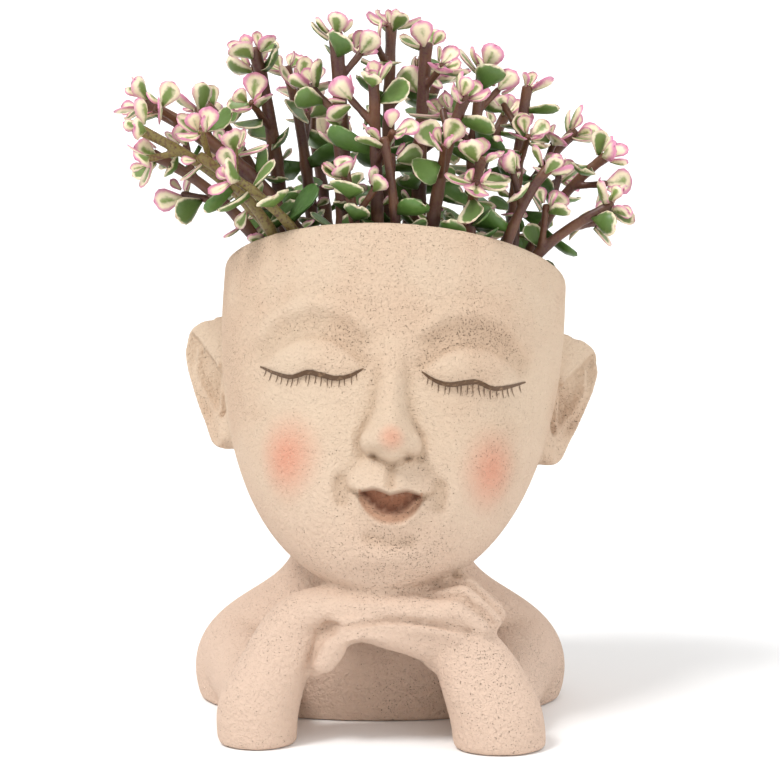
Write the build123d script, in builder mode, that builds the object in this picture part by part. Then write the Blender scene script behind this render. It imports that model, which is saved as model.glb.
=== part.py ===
from build123d import *
import os
from math import asin, atan2, cos, degrees, radians, sin, sqrt

os.makedirs("parts", exist_ok=True)

# A planter cast as a smiling head that rests its chin on folded hands, planted with a leafy succulent.
# Millimetres. Z is up, the face looks along -Y, and the origin is on the ground under the drain hole.

# Casting
wall = 7.0
recess_depth = 14.0
recess_wall = 11.0
floor_thickness = 9.0
drain_hole_diameter = 14.0
rim_rounding = 1.8
rim_tolerance = 0.01

# Head: an egg in its own tilted frame, cut off square to its axis at the rim
head_centre = (3.5, -2.0, 121.0)
head_pitch = 16.0
head_roll = 3.0
head_half_width = 69.0
face_reach = 73.0
nape_reach = 72.0
brow_slope = 5.0
crown_slope = 4.0
widest_level = 40.0
nape_level = 20.0
rim_level = 58.0
jaw_drop = 82.0
chin_reach = 58.0
throat_reach = 44.0
chin_flat = 1.0
side_power = 2.2
chin_power = 6
nape_power = 3
head_levels = (15.0, -10.0, -32.0, -50.0, -63.0, -72.0, -78.0)
cavity_levels = (15.0, -10.0, -30.0)
head_cavity_drop = 44.0

# Bust: height, half width, reach of the chest to the front, reach to the back
bust_sections = (
    (0.0, 73.0, 42.0, 58.0),
    (12.0, 75.5, 42.5, 60.0),
    (26.0, 72.0, 41.0, 57.0),
    (38.0, 61.0, 38.0, 51.0),
    (48.0, 46.0, 34.0, 44.0),
    (57.0, 37.0, 30.0, 39.0),
    (84.0, 33.0, 28.0, 34.0),
)

# Forearms and palms: centre, half depth and half height of each station, from the elbow to the knuckles
upper_hand_arm = (
    ((-47.0, -77.0, -6.0), 13.0, 13.0),
    ((-46.5, -76.0, 6.0), 15.5, 15.5),
    ((-43.5, -73.5, 20.0), 15.0, 14.5),
    ((-38.0, -70.0, 34.0), 13.0, 12.0),
    ((-30.5, -68.0, 45.5), 11.5, 10.0),
    ((-17.0, -68.5, 51.0), 12.5, 7.8),
    ((0.0, -70.0, 52.0), 15.5, 7.0),
    ((14.0, -70.5, 51.5), 16.8, 6.6),
    ((25.0, -70.5, 50.5), 16.8, 6.2),
)
lower_hand_arm = (
    ((45.5, -84.0, -6.0), 15.0, 15.0),
    ((45.0, -83.0, 6.0), 17.5, 17.5),
    ((42.5, -80.0, 18.0), 16.5, 16.0),
    ((38.0, -76.5, 29.0), 14.0, 13.0),
    ((30.0, -73.5, 37.5), 12.5, 10.5),
    ((17.0, -72.0, 41.0), 13.5, 7.6),
    ((3.0, -71.5, 41.5), 15.8, 7.0),
    ((-8.0, -71.5, 41.0), 16.6, 6.6),
    ((-14.0, -71.5, 40.5), 16.6, 6.2),
)
# Upper arms, from the elbow back into the bust: two ends and their radii
upper_arms = (
    ((-46.0, -64.0, 13.0), (-52.0, -4.0, 18.0), 12.0, 20.0),
    ((45.0, -68.0, 13.0), (52.0, -4.0, 18.0), 13.0, 20.0),
)
# Fingers: root, bent joint and tip
upper_hand_fingers = (
    ((12.0, -80.0, 51.5), (28.0, -83.0, 52.0), (38.5, -82.5, 45.0)),
    ((17.0, -73.7, 53.0), (31.5, -76.0, 56.5), (43.5, -75.0, 46.0)),
    ((17.0, -67.3, 53.5), (33.0, -68.5, 58.5), (45.5, -67.0, 47.0)),
    ((17.0, -61.0, 53.0), (32.0, -61.0, 58.5), (44.5, -59.5, 48.0)),
)
lower_hand_fingers = (
    ((-7.0, -81.0, 40.8), (-17.0, -82.5, 38.5), (-22.0, -82.0, 30.5)),
    ((-7.0, -74.7, 41.0), (-19.5, -75.5, 38.5), (-24.5, -75.0, 28.0)),
    ((-7.0, -68.3, 41.0), (-19.5, -68.0, 38.5), (-24.5, -67.0, 28.5)),
    ((-7.0, -62.0, 40.8), (-16.0, -61.0, 38.5), (-21.0, -60.0, 31.0)),
)
knuckle_radius = 4.4
finger_radius = 4.1
fingertip_radius = 3.5

# Ears, in the head's frame
ear_level = 6.5
ear_setback = 3.0
ear_flare = 40.0
ear_sink = 9.0
ear_thickness = 10.0
ear_top_radius = 15.5
ear_lobe_radius = 7.5
ear_top_rise = 12.0
ear_lobe_drop = 19.5
ear_reach = 15.0
ear_lobe_reach = 9.0
ear_rounding = 3.2
ear_rim_width = 4.5
concha_depth = 5.0

# Face: nose sections as level, half width, half depth and how far the ridge stands out
nose_sections = (
    (5.0, 4.5, 6.0, 0.2),
    (-8.0, 5.0, 8.0, 3.2),
    (-18.0, 7.0, 11.0, 8.5),
    (-26.0, 9.2, 14.0, 13.8),
    (-31.0, 8.6, 12.5, 13.0),
    (-35.0, 6.0, 9.0, 9.0),
)
nose_wing_spread = 8.2
nose_wing_level = -28.5
nose_wing_out = 4.6
nose_wing = (5.2, 6.5, 5.2)
eye_spread = 31.5
eyelid_level = 4.0
eyelid_sink = 3.6
eyelid = (20.5, 8.0, 9.5)
mouth_level = -48.5
mouth_opening = (13.0, 8.0, 4.6)
upper_lip = (9.5, 6.0, 3.6)
upper_lip_spread = 6.5
upper_lip_level = -43.2
lower_lip = (11.5, 6.5, 4.0)
lower_lip_level = -55.2
lip_sink = 3.4

# Drain fittings
plug_clearance = 0.15
plug_flange_diameter = 24.0
plug_flange_thickness = 3.0
plug_tab_length = 6.0
plug_tab_width = 10.0
plug_tab_thickness = 3.0
plug_top_gap = 0.5
screen_diameter = 40.0
screen_thickness = 1.2
screen_hole_diameter = 2.6
screen_pitch = 4.2
screen_margin = 3.0

# Filling
gravel_depth = 26.0
fill_clearance = 0.3
soil_below_rim = 27.0

# Stems: root and tip from the centre of the rim, as root x, root y, tip x, tip y, tip z, and base radius
stem_rows = (
    (-40.0, -10.0, -97.0, -14.0, 44.0, 2.6),
    (-23.0, -9.0, -103.0, -8.0, 65.0, 3.5),
    (-30.0, -23.0, -101.0, -31.0, 54.0, 2.6),
    (-44.0, 8.0, -57.0, -4.0, 86.0, 3.1),
    (-20.0, -24.0, -24.0, -18.0, 92.0, 3.5),
    (-32.0, 18.0, -45.0, 18.0, 79.0, 2.6),
    (-22.0, -36.0, -64.0, -46.0, 36.0, 2.1),
    (10.0, -32.0, 27.0, -35.0, 67.0, 2.8),
    (28.0, -8.0, 35.0, 2.0, 79.0, 2.8),
    (8.0, -10.0, 12.0, -13.0, 88.0, 3.1),
    (-4.0, 2.0, -2.0, 9.0, 96.0, 2.8),
    (46.0, 2.0, 53.0, 4.0, 71.0, 2.6),
    (38.0, -20.0, 86.0, -20.0, 24.0, 2.4),
    (46.0, 12.0, 85.0, 0.0, 43.0, 2.4),
    (38.0, 24.0, 74.0, 24.0, 53.0, 2.6),
    (-7.0, -30.0, -9.0, -40.0, 74.0, 2.6),
    (2.0, -45.0, -5.0, -48.0, 51.0, 2.2),
    (-13.0, -45.0, -20.0, -50.0, 38.0, 2.2),
    (25.0, -40.0, 33.0, -47.0, 43.0, 2.4),
    (36.0, -32.0, 60.0, -27.0, 39.0, 2.4),
    (-42.0, 24.0, -77.0, 10.0, 63.0, 2.8),
    (-35.0, -30.0, -77.0, -37.0, 44.0, 2.4),
    (-26.0, 38.0, -40.0, 46.0, 69.0, 2.6),
    (2.0, 36.5, 18.0, 45.5, 75.0, 2.6),
    (24.0, 36.0, 47.0, 44.0, 61.0, 2.6),
)
root_depth = 14.0
socket_clearance = 0.4
stem_taper = 0.7
stem_spans = 7
knee_reach = 0.2
knee_rise = 0.68

# Side shoots: where they leave the stem and how long they are, both along it from its tip
shoot_starts = (19.0, 34.0)
shoot_lengths = (15.0, 19.0)
shoot_radius = 1.4
shoot_free_from = 2
shoot_points = 8
stem_points = 20
shoot_lean = 42.0
shoot_turn = 137.5

# Leaf pairs: distance below the tip, leaf length and how far the leaf lifts towards the tip, in degrees
leaf_pairs = (
    (0.0, 6.0, 68.0),
    (1.0, 9.0, 42.0),
    (2.6, 9.5, 28.0),
    (9.5, 11.5, 20.0),
    (18.5, 13.0, 12.0),
    (29.0, 14.5, 6.0),
    (41.0, 14.5, 0.0),
)
shoot_pair_count = 4
leaf_width = 0.82
# Half of a leaf's outline, as shares of its length and half width
leaf_outline = ((0.0, 0.25), (0.45, 0.85), (0.78, 1.0), (1.0, 0.4))
leaf_thickness = 1.3
leaf_gap = 0.2
leaf_clearance = 0.4

head_frame = Plane(head_centre).rotated((-head_pitch, head_roll, 0))
rim_centre = head_frame.offset(rim_level).origin
floor_top = recess_depth + floor_thickness
gravel_top = floor_top + gravel_depth
soil_level = rim_centre.Z - soil_below_rim


def head_outline(level):
    """Half width, reach to the face and reach to the nape at a level along the head's axis."""
    below_widest = max(0.0, widest_level - level) / (widest_level + jaw_drop)
    below_nape = max(0.0, nape_level - level) / (nape_level + jaw_drop)
    drop = max(0.0, -level) / jaw_drop
    rise = max(0.0, level) / rim_level
    half_width = head_half_width * sqrt(1 - below_widest**side_power)
    front = face_reach - brow_slope * rise**2 - (face_reach - chin_reach) * drop**chin_power
    back = nape_reach - crown_slope * rise**2 - (nape_reach + throat_reach) * below_nape**nape_power
    return half_width, front, back


def bust_outline(height):
    """Half width and reaches of the bust at a height, between its sections."""
    for low, high in zip(bust_sections, bust_sections[1:]):
        if height <= high[0]:
            share = (height - low[0]) / (high[0] - low[0])
            return [a + share * (b - a) for a, b in zip(low[1:], high[1:])]
    return bust_sections[-1][1:]


def egg(planes_and_outlines, inset):
    """Loft through ellipses that reach unequally far to the front and back, drawn in by an inset."""
    with BuildPart() as form:
        for plane, (half_width, front, back) in planes_and_outlines:
            with BuildSketch(plane):
                with Locations((0, (back - front) / 2)):
                    Ellipse(half_width - inset, (front + back) / 2 - inset)
        loft()
    return form.part


def head_form(levels, inset):
    """The head between its highest and lowest level."""
    return egg([(head_frame.offset(level), head_outline(min(level, rim_level))) for level in levels], inset)


def bust_form(heights, inset):
    """The bust between its lowest and highest height."""
    return egg([(Plane.XY.offset(height), bust_outline(height)) for height in heights], inset)


def limb(stations):
    """Loft through ellipses along a limb: each station is a centre, a half depth and a half height."""
    centres = [Vector(*station[0]) for station in stations]
    with BuildPart() as form:
        for i, (centre, half_depth, half_height) in enumerate(stations):
            along = centres[min(i + 1, len(centres) - 1)] - centres[max(i - 1, 0)]
            with BuildSketch(Plane(centre, x_dir=(0, 1, 0), z_dir=along)):
                Ellipse(half_depth, half_height)
        loft()
    return form.part


def phalanx(start, end, start_radius, end_radius):
    """Round-ended cone between two points."""
    along = Vector(*end) - Vector(*start)
    lean = degrees(asin((start_radius - end_radius) / along.length))
    section = Plane(start, z_dir=along)
    with BuildPart() as form:
        with BuildSketch(Plane(start, x_dir=section.x_dir, z_dir=-section.y_dir)):
            with BuildLine():
                low = CenterArc((0, 0), start_radius, -90, 90 + lean)
                high = CenterArc((0, along.length), end_radius, lean, 90 - lean)
                Line(low @ 1, high @ 0)
                Line(high @ 1, low @ 0)
            make_face()
        revolve(axis=Axis(start, along))
    return form.part


def finger(root, joint, tip):
    """Finger bent at its joint."""
    with BuildPart() as form:
        add(phalanx(root, joint, knuckle_radius, finger_radius))
        add(phalanx(joint, tip, finger_radius, fingertip_radius))
    return form.part


def swelling(radii):
    """Ellipsoid about the origin."""
    with BuildPart() as form:
        Sphere(1)
        scale(by=radii)
    return form.part


def face_spot(across, level, out):
    """Place on the face, in the head's frame, turned to look straight out of it."""
    half_width, front, back = head_outline(level)
    half_depth = (front + back) / 2
    angle = asin(across / half_width)
    place = Vector(across, (back - front) / 2 - half_depth * cos(angle), level)
    normal = Vector(sin(angle) / half_width, -cos(angle) / half_depth, 0).normalized()
    turn = degrees(atan2(normal.X, -normal.Y))
    return head_frame.location * Location(place + normal * out, (0, 0, turn))


def nose():
    """Nose from its bridge to its underside."""
    with BuildPart() as form:
        for level, half_width, half_depth, out in nose_sections:
            ridge = -head_outline(level)[1] - out
            with BuildSketch(head_frame.offset(level)):
                with Locations((0, ridge + half_depth)):
                    Ellipse(half_width, half_depth)
        loft()
    return form.part


def ear(side):
    """Cupped ear that flares backwards from one side of the head."""
    half_width = head_outline(ear_level)[0]
    root = head_frame.from_local_coords((side * (half_width - ear_sink), ear_setback, ear_level))
    outwards = head_frame.x_dir.rotate(Axis((0, 0, 0), head_frame.z_dir), side * ear_flare) * side
    facing = outwards.cross(head_frame.z_dir) * side
    blade = Plane(root, x_dir=outwards, z_dir=facing)
    with BuildPart() as form:
        with BuildSketch(blade):
            with BuildLine():
                CenterArc((ear_reach, side * ear_top_rise), ear_top_radius, 0, 360)
                CenterArc((ear_lobe_reach, -side * ear_lobe_drop), ear_lobe_radius, 0, 360)
            make_hull()
        extrude(amount=ear_thickness / 2, both=True)
        fillet(form.edges(), radius=ear_rounding)
        with BuildSketch(blade.offset(ear_thickness / 2)):
            with BuildLine():
                CenterArc((ear_reach, side * ear_top_rise), ear_top_radius - ear_rim_width, 0, 360)
                CenterArc(
                    (ear_lobe_reach, -side * (ear_lobe_drop - ear_lobe_radius)),
                    ear_lobe_radius - ear_rim_width, 0, 360,
                )
            make_hull()
        extrude(amount=-concha_depth, mode=Mode.SUBTRACT)
    return form.part


outside_levels = (rim_level, widest_level, *head_levels, chin_flat - jaw_drop)
inside_levels = (rim_level, widest_level, *cavity_levels, -head_cavity_drop)
bust_heights = [section[0] for section in bust_sections]


def inside_heights(low, high):
    """Heights of the bust's sections between two heights, with both ends."""
    return [low] + [height for height in bust_heights if low < height < high] + [high]


def on_rim(edge):
    """Whether an edge lies in the plane of the rim."""
    return abs(head_frame.to_local_coords(edge.center()).Z - rim_level) < rim_tolerance


with BuildPart() as planter_body:
    add(head_form(outside_levels, 0))
    add(bust_form(bust_heights, 0))
    for upper_arm in upper_arms:
        add(phalanx(*upper_arm))
    for arm in (upper_hand_arm, lower_hand_arm):
        add(limb(arm))
    for bones in upper_hand_fingers + lower_hand_fingers:
        add(finger(*bones))
    for side in (-1, 1):
        add(ear(side))
    # Face
    add(nose())
    with Locations(*[face_spot(side * nose_wing_spread, nose_wing_level, nose_wing_out) for side in (-1, 1)]):
        add(swelling(nose_wing))
    with Locations(*[face_spot(side * eye_spread, eyelid_level, -eyelid_sink) for side in (-1, 1)]):
        add(swelling(eyelid))
    with Locations(*[face_spot(side * upper_lip_spread, upper_lip_level, -lip_sink) for side in (-1, 1)]):
        add(swelling(upper_lip))
    with Locations(face_spot(0, lower_lip_level, -lip_sink)):
        add(swelling(lower_lip))
    with Locations(face_spot(0, mouth_level, 0)):
        add(swelling(mouth_opening), mode=Mode.SUBTRACT)
    # Hollow for the plant, drain hole and recessed underside
    add(head_form((rim_level + wall, *inside_levels), wall), mode=Mode.SUBTRACT)
    add(bust_form(inside_heights(floor_top, head_centre[2]), wall), mode=Mode.SUBTRACT)
    with BuildSketch():
        half_width, front, back = bust_outline(0)
        with Locations((0, (back - front) / 2)):
            Ellipse(half_width - recess_wall, (front + back) / 2 - recess_wall)
    extrude(amount=recess_depth, mode=Mode.SUBTRACT)
    with Locations((0, 0, floor_top)):
        Hole(drain_hole_diameter / 2, depth=floor_thickness)
    split(bisect_by=Plane.XY, keep=Keep.TOP)
    fillet(planter_body.edges().filter_by(on_rim), radius=rim_rounding)
planter_body.part.label = "planter_body"
export_step(planter_body.part, "parts/planter_body.step")

with BuildPart() as drain_plug:
    with BuildSketch(Plane.XZ):
        with BuildLine():
            Polyline(
                (0, recess_depth - plug_flange_thickness),
                (plug_flange_diameter / 2, recess_depth - plug_flange_thickness),
                (plug_flange_diameter / 2, recess_depth),
                (drain_hole_diameter / 2 - plug_clearance, recess_depth),
                (drain_hole_diameter / 2 - plug_clearance, floor_top - plug_top_gap),
                (0, floor_top - plug_top_gap),
                close=True,
            )
        make_face()
    revolve(axis=Axis.Z)
    with Locations((0, 0, recess_depth - plug_flange_thickness)):
        Box(
            plug_tab_width, plug_tab_thickness, plug_tab_length,
            align=(Align.CENTER, Align.CENTER, Align.MAX),
        )
drain_plug.part.label = "drain_plug"
export_step(drain_plug.part, "parts/drain_plug.step")

with BuildPart() as drain_screen:
    with BuildSketch(Plane.XY.offset(floor_top)):
        Circle(screen_diameter / 2)
        holes = int((screen_diameter - 2 * screen_margin) / screen_pitch)
        reach = screen_diameter / 2 - screen_margin
        spots = GridLocations(screen_pitch, screen_pitch, holes, holes).locations
        with Locations(*[spot for spot in spots if spot.position.length < reach]):
            Circle(screen_hole_diameter / 2, mode=Mode.SUBTRACT)
    extrude(amount=screen_thickness)
drain_screen.part.label = "drain_screen"
export_step(drain_screen.part, "parts/drain_screen.step")

with BuildPart() as drainage_gravel:
    add(bust_form(inside_heights(floor_top, gravel_top), wall + fill_clearance))
    with Locations((0, 0, floor_top)):
        Cylinder(
            screen_diameter / 2 + fill_clearance, screen_thickness,
            align=(Align.CENTER, Align.CENTER, Align.MIN), mode=Mode.SUBTRACT,
        )
drainage_gravel.part.label = "drainage_gravel"
export_step(drainage_gravel.part, "parts/drainage_gravel.step")


def stem_route(row):
    """Root, direction out of the soil and curve of a stem."""
    root = Vector(rim_centre.X + row[0], rim_centre.Y + row[1], soil_level)
    tip = rim_centre + Vector(*row[2:5])
    run = tip - root
    knee = root + Vector(run.X * knee_reach, run.Y * knee_reach, run.Z * knee_rise)
    return Edge.make_bezier(root, knee, tip)


routes = [stem_route(row) for row in stem_rows]

with BuildPart() as potting_soil:
    add(head_form(inside_levels, wall + fill_clearance))
    add(bust_form(inside_heights(gravel_top, head_centre[2]), wall + fill_clearance))
    split(bisect_by=Plane.XY.offset(soil_level), keep=Keep.BOTTOM)
    for row, route in zip(stem_rows, routes):
        with BuildSketch(Plane(route @ 0, z_dir=route % 0)):
            Circle(row[5] + socket_clearance)
        extrude(amount=-root_depth - socket_clearance, mode=Mode.SUBTRACT)
        with BuildSketch(Plane(route @ 0, z_dir=route % 0)):
            Circle(row[5] + socket_clearance)
        extrude(amount=row[5], mode=Mode.SUBTRACT)
potting_soil.part.label = "potting_soil"
export_step(potting_soil.part, "parts/potting_soil.step")


def ring_plane(point, along, turn):
    """Plane square to an axis, turned about it."""
    sideways = Vector(0, 1, 0).cross(along).rotate(Axis((0, 0, 0), along), turn)
    return Plane(point, x_dir=sideways, z_dir=along)


def tube(points, directions, radii):
    """Round stem through points."""
    with BuildPart() as form:
        for point, direction, radius in zip(points, directions, radii):
            with BuildSketch(ring_plane(point, direction, 0)):
                Circle(radius)
        loft()
    return form.part


def leaf(length):
    """Leaf from its base along X, widest past its middle."""
    half = length * leaf_width / 2
    with BuildPart() as form:
        with BuildSketch():
            with BuildLine():
                edge = Polyline(*[(along * length, across * half) for along, across in leaf_outline])
                other = mirror(edge, about=Plane.XZ)
                Line(edge @ 0, other.vertices().sort_by(Axis.X)[0])
                Line(edge @ 1, other.vertices().sort_by(Axis.X)[-1])
            make_face()
        extrude(amount=leaf_thickness / 2, both=True)
    return form.part


leaf_forms = {length: leaf(length) for length in sorted({pair[1] for pair in leaf_pairs})}


def station(route, from_tip):
    """Share of a stem's curve at a distance back from its tip."""
    return 1 - from_tip / route.length


def stem_radius(row, share):
    """Radius of a stem at a share of its curve."""
    return row[5] * (1 - (1 - stem_taper) * share)


def leaf_planes(spine, turn):
    """Planes and lengths of the leaf pairs along one axis, each pair square to the last."""
    planes = []
    for i, ((point, along, radius), (from_tip, length, lift)) in enumerate(zip(spine, leaf_pairs)):
        ring = ring_plane(point, along, turn + 90 * i)
        for outwards in (ring.x_dir, -ring.x_dir):
            way = outwards * cos(radians(lift)) + along * sin(radians(lift))
            upper = along * cos(radians(lift)) - outwards * sin(radians(lift))
            base = point + outwards * (radius + leaf_gap + leaf_thickness / 2 * sin(radians(lift)))
            planes.append((from_tip, Plane(base, x_dir=way, z_dir=upper), length))
    return planes


def clear_of_rim(centre, reach):
    """Whether a ball clears the wall of the head and stays out of the pot."""
    spot = head_frame.to_local_coords(centre)
    half_width, front, back = head_outline(rim_level)
    spread = sqrt((spot.X / half_width) ** 2 + (spot.Y * 2 / (front + back)) ** 2)
    return spot.Z > rim_level + reach or spread > 1 + reach / half_width


def clear_of_axes(centre, reach, axes, own):
    """Whether a ball clears every stem and shoot but its own."""
    for name, points, radius in axes:
        if name != own and any((centre - point).length < reach + radius for point in points):
            return False
    return True


# Every axis that carries leaves, as its name, points along it and radius
axes = []
for i, (row, route) in enumerate(zip(stem_rows, routes)):
    axes.append(((i, 0), [route @ (k / stem_points) for k in range(stem_points + 1)], row[5]))
shoots = [[] for _ in stem_rows]
leaf_spots = []
for i, (row, route) in enumerate(zip(stem_rows, routes)):
    pairs = [pair for pair in leaf_pairs if pair[0] < route.length / 2]
    shares = [station(route, pair[0]) for pair in pairs]
    spine = [(route @ share, route % share, stem_radius(row, share)) for share in shares]
    leaf_spots += [(*spot, (i, 0)) for spot in leaf_planes(spine, shoot_turn * i)]
    for k, (start, length) in enumerate(zip(shoot_starts, shoot_lengths)):
        share = station(route, start)
        base = ring_plane(route @ share, route % share, shoot_turn * (2 * i + k))
        way = base.z_dir * cos(radians(shoot_lean)) + base.x_dir * sin(radians(shoot_lean))
        points = [base.origin + way * (length * n / shoot_points) for n in range(shoot_points + 1)]
        free = all(clear_of_axes(point, shoot_radius + leaf_clearance, axes, (i, 0)) for point in points)
        if not free or not clear_of_rim(points[-1], length):
            continue
        shoots[i].append((points[0], points[-1], way))
        axes.append(((i, k + 1), points[shoot_free_from:], shoot_radius))
        spine = [(points[-1] - way * pair[0], way, shoot_radius) for pair in leaf_pairs[:shoot_pair_count]]
        leaf_spots += [(*spot, (i, k + 1)) for spot in leaf_planes(spine, shoot_turn * k)]

# Leaves nearest the tips are placed first, and one that would touch what is in place is left out
taken = []
leaves_of = [[] for _ in stem_rows]
for from_tip, plane, length, own in sorted(leaf_spots, key=lambda spot: spot[0]):
    centre = plane.origin + plane.x_dir * (length / 2)
    reach = length / 2 + leaf_clearance
    near = any((centre - other).length < reach + size and name != own for other, size, name in taken)
    if near or not clear_of_rim(centre, reach) or not clear_of_axes(centre, reach, axes, own):
        continue
    taken.append((centre, reach, own))
    leaves_of[own[0]].append((length, plane))

for i, (row, route) in enumerate(zip(stem_rows, routes)):
    shares = [k / stem_spans for k in range(stem_spans + 1)]
    points = [route @ 0 - (route % 0) * root_depth] + [route @ share for share in shares]
    directions = [route % 0] + [route % share for share in shares]
    radii = [row[5]] + [stem_radius(row, share) for share in shares]
    with BuildPart() as stem:
        add(tube(points, directions, radii))
        for base, tip, way in shoots[i]:
            add(tube((base, tip), (way, way), (shoot_radius, shoot_radius * stem_taper)))
    stem.part.label = f"stem_{i + 1:02d}"
    export_step(stem.part, f"parts/stem_{i + 1:02d}.step")

    with BuildPart() as leaves:
        for length in sorted({size for size, plane in leaves_of[i]}):
            with Locations(*[plane.location for size, plane in leaves_of[i] if size == length]):
                add(leaf_forms[length], clean=False)
    leaves.part.label = f"leaves_{i + 1:02d}"
    export_step(leaves.part, f"parts/leaves_{i + 1:02d}.step")
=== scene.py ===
import math
import random

import bmesh
import bpy
import numpy as np
from mathutils import Matrix, Vector, noise
from mathutils.bvhtree import BVHTree
from mathutils.kdtree import KDTree


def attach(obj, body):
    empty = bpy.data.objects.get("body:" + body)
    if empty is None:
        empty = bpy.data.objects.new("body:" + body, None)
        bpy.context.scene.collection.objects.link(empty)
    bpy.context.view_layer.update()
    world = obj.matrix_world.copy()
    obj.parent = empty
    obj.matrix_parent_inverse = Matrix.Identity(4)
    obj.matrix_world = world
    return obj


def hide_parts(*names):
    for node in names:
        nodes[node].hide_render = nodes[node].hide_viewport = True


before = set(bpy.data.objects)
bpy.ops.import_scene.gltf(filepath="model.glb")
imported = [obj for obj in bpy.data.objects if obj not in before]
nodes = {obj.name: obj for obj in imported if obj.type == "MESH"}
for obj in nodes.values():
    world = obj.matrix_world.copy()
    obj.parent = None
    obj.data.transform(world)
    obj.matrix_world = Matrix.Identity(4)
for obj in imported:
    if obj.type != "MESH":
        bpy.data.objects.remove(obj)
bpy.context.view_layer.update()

mm = 0.001
weld = 0.02 * mm

# The head leans back and to its left; its face looks along -y of this frame
headPlace = {"centre": (3.5, -2.0, 121.0), "pitch": 16.0, "roll": 3.0}
headTurn = (Matrix.Rotation(math.radians(-headPlace["pitch"]), 3, "X")
            @ Matrix.Rotation(math.radians(headPlace["roll"]), 3, "Y"))
headAxes = np.array(headTurn)
headCentre = np.array(headPlace["centre"])


def toHead(co):
    return (co - headCentre) @ headAxes


def fromHead(spot):
    return headCentre + headAxes @ np.asarray(spot, float)


# Meshes in and out of arrays of millimetres
def pointsOf(mesh):
    flat = np.empty(len(mesh.vertices) * 3, np.float32)
    mesh.vertices.foreach_get("co", flat)
    return flat.reshape(-1, 3).astype(float) / mm


def normalsOf(mesh):
    flat = np.empty(len(mesh.vertices) * 3, np.float32)
    mesh.vertices.foreach_get("normal", flat)
    return flat.reshape(-1, 3).astype(float)


def movePoints(mesh, co):
    mesh.vertices.foreach_set("co", (co * mm).astype(np.float32).ravel())
    mesh.update()


def edgesOf(mesh):
    flat = np.empty(len(mesh.edges) * 2, np.int32)
    mesh.edges.foreach_get("vertices", flat)
    return flat.reshape(-1, 2)


def addAttribute(mesh, name, values):
    layer = mesh.attributes.get(name) or mesh.attributes.new(name, "FLOAT", "POINT")
    layer.data.foreach_set("value", np.asarray(values, np.float32))


def relax(co, edges, rounds, amount):
    count = len(co)
    ends = np.bincount(edges.ravel(), minlength=count)[:, None]
    for _ in range(rounds):
        total = np.stack([np.bincount(edges[:, 0], co[edges[:, 1], k], count)
                          + np.bincount(edges[:, 1], co[edges[:, 0], k], count) for k in range(3)], 1)
        co = co + np.asarray(amount).reshape(-1, 1) * (total / ends - co)
    return co


def cadCopy(node):
    bm = bmesh.new()
    bm.from_mesh(nodes[node].data)
    bmesh.ops.remove_doubles(bm, verts=bm.verts, dist=weld)
    return bm


def withModifier(mesh, kind, settings):
    holder = bpy.data.objects.new("working", mesh)
    bpy.context.collection.objects.link(holder)
    modifier = holder.modifiers.new(kind.lower(), kind)
    for key, value in settings.items():
        setattr(modifier, key, value)
    result = bpy.data.meshes.new_from_object(holder.evaluated_get(bpy.context.evaluated_depsgraph_get()))
    bpy.data.objects.remove(holder)
    bpy.data.meshes.remove(mesh)
    return result


def remeshed(bm, voxel):
    mesh = bpy.data.meshes.new("working")
    bm.to_mesh(mesh)
    bm.free()
    return withModifier(mesh, "REMESH", {"mode": "VOXEL", "voxel_size": voxel * mm})


def addPiece(name, mesh, material, replaced=(), body="planter"):
    mesh.materials.clear()
    mesh.materials.append(material)
    mesh.shade_smooth()
    piece = bpy.data.objects.new(name, mesh)
    bpy.context.collection.objects.link(piece)
    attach(piece, body)
    if replaced:
        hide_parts(*replaced)
    return piece


# Material helpers
def newMaterial(name):
    material = bpy.data.materials.new(name)
    material.use_nodes = True
    tree = material.node_tree
    return material, tree, tree.nodes["Principled BSDF"]


def addNode(tree, kind, inputs=None, **settings):
    node = tree.nodes.new(kind)
    for key, value in settings.items():
        setattr(node, key, value)
    for key, value in (inputs or {}).items():
        if isinstance(value, bpy.types.NodeSocket):
            tree.links.new(value, node.inputs[key])
        else:
            node.inputs[key].default_value = value
    return node


def objectSpot(tree):
    return addNode(tree, "ShaderNodeTexCoord").outputs["Object"]


def grain(tree, spot, scale, detail=2.0, rough=0.5):
    return addNode(tree, "ShaderNodeTexNoise", {"Vector": spot, "Scale": scale, "Detail": detail,
                                                "Roughness": rough}).outputs["Fac"]


def span(tree, value, low, high, smooth=True):
    return addNode(tree, "ShaderNodeMapRange", {"Value": value, "From Min": low, "From Max": high},
                   interpolation_type="SMOOTHSTEP" if smooth else "LINEAR").outputs["Result"]


def math2(tree, operation, a, b):
    return addNode(tree, "ShaderNodeMath", {0: a, 1: b}, operation=operation).outputs[0]


def blendColour(tree, share, first, second):
    node = addNode(tree, "ShaderNodeMix", data_type="RGBA")
    for key, value in ((0, share), (6, first), (7, second)):
        if isinstance(value, bpy.types.NodeSocket):
            tree.links.new(value, node.inputs[key])
        else:
            node.inputs[key].default_value = value
    return node.outputs[2]


def attribute(tree, name):
    return addNode(tree, "ShaderNodeAttribute", attribute_name=name).outputs["Fac"]


def bumpOn(tree, shader, height, strength, distance):
    bump = addNode(tree, "ShaderNodeBump", {"Height": height, "Strength": strength, "Distance": distance * mm})
    tree.links.new(bump.outputs["Normal"], shader.inputs["Normal"])


def srgb(red, green, blue):
    def toLinear(level):
        level = level / 255
        return level / 12.92 if level <= 0.04045 else ((level + 0.055) / 1.055) ** 2.4
    return (toLinear(red), toLinear(green), toLinear(blue), 1.0)


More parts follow.
